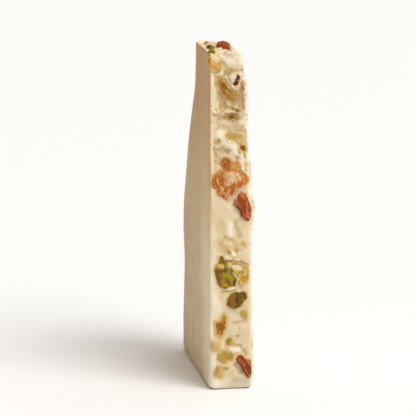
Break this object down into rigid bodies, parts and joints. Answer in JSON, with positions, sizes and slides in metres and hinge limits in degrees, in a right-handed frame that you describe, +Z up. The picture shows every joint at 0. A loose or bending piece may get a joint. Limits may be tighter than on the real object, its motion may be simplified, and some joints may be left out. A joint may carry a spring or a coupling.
{
  "type": "white chocolate bark",
  "caption": "Flat broken piece of white chocolate bark with nuts and candied fruit, cut on one edge and standing on its flat end.",
  "frame": {"origin": "middle of the piece's box at the foot, on the surface that it stands on", "axes": "+Z up along the cut edge, -Y out of the cut face that shows, +X out of the lumpy side with the nuts, -X out of the smooth cast side"},
  "size_m": [0.017, 0.0522, 0.1065],
  "materials": {
    "white_chocolate": "satin white chocolate: smooth on the cast side, rough on the cut",
    "almond_skin": "matt, ridged reddish-brown almond skin",
    "pistachio": "green pistachio flesh with purple-brown skin",
    "toasted_nut": "toasted golden-brown nut",
    "pale_nut": "pale nut flesh, satin",
    "candied_orange": "translucent candied orange with sugar grains",
    "candied_papaya": "dense brick-red candied papaya with sugared edges",
    "candied_melon": "translucent amber candied melon"
  },
  "bodies": {
    "root": {"white_chocolate": "white_chocolate", "nut_crown": "pale_nut", "almond_notch": "almond_skin", "almond_sliver": "almond_skin", "toasted_nut_high": "toasted_nut", "pale_nut_high": "pale_nut", "toasted_chip_high": "toasted_nut", "orange_upper": "candied_orange", "orange_left": "candied_orange", "orange_right": "candied_orange", "almond_stick_high": "almond_skin", "pistachio_green": "pistachio", "pale_nut_middle": "pale_nut", "pistachio_dark": "pistachio", "pale_nut_low": "pale_nut", "toasted_nut_low": "toasted_nut", "pistachio_bit": "pistachio", "toasted_chip_low": "toasted_nut", "pale_nut_foot_upper": "pale_nut", "pale_nut_foot_lower": "pale_nut", "almond_stick_low": "almond_skin", "almond_top": "almond_skin", "pistachio_top": "pistachio", "pistachio_crown": "pistachio", "papaya_back": "candied_papaya", "pistachio_back_high": "pistachio", "almond_back": "almond_skin", "melon_back": "candied_melon", "orange_back": "candied_orange", "pistachio_back_low": "pistachio", "almond_back_low": "almond_skin", "papaya_back_low": "candied_papaya", "pistachio_foot": "pistachio", "almond_foot": "almond_skin", "orange_foot": "candied_orange", "almond_lump_high": "almond_skin", "pistachio_lump_high": "pistachio", "papaya_lump_high": "candied_papaya", "orange_lump_high": "candied_orange", "almond_lump_middle": "almond_skin", "pistachio_lump_back": "pistachio", "melon_lump_middle": "candied_melon", "papaya_lump_middle": "candied_papaya", "pistachio_lump_middle": "pistachio", "almond_lump_back": "almond_skin", "orange_lump_low": "candied_orange", "almond_lump_low": "almond_skin", "pistachio_lump_low": "pistachio", "papaya_lump_low": "candied_papaya", "melon_lump_low": "candied_melon"}
  },
  "joints": []
}
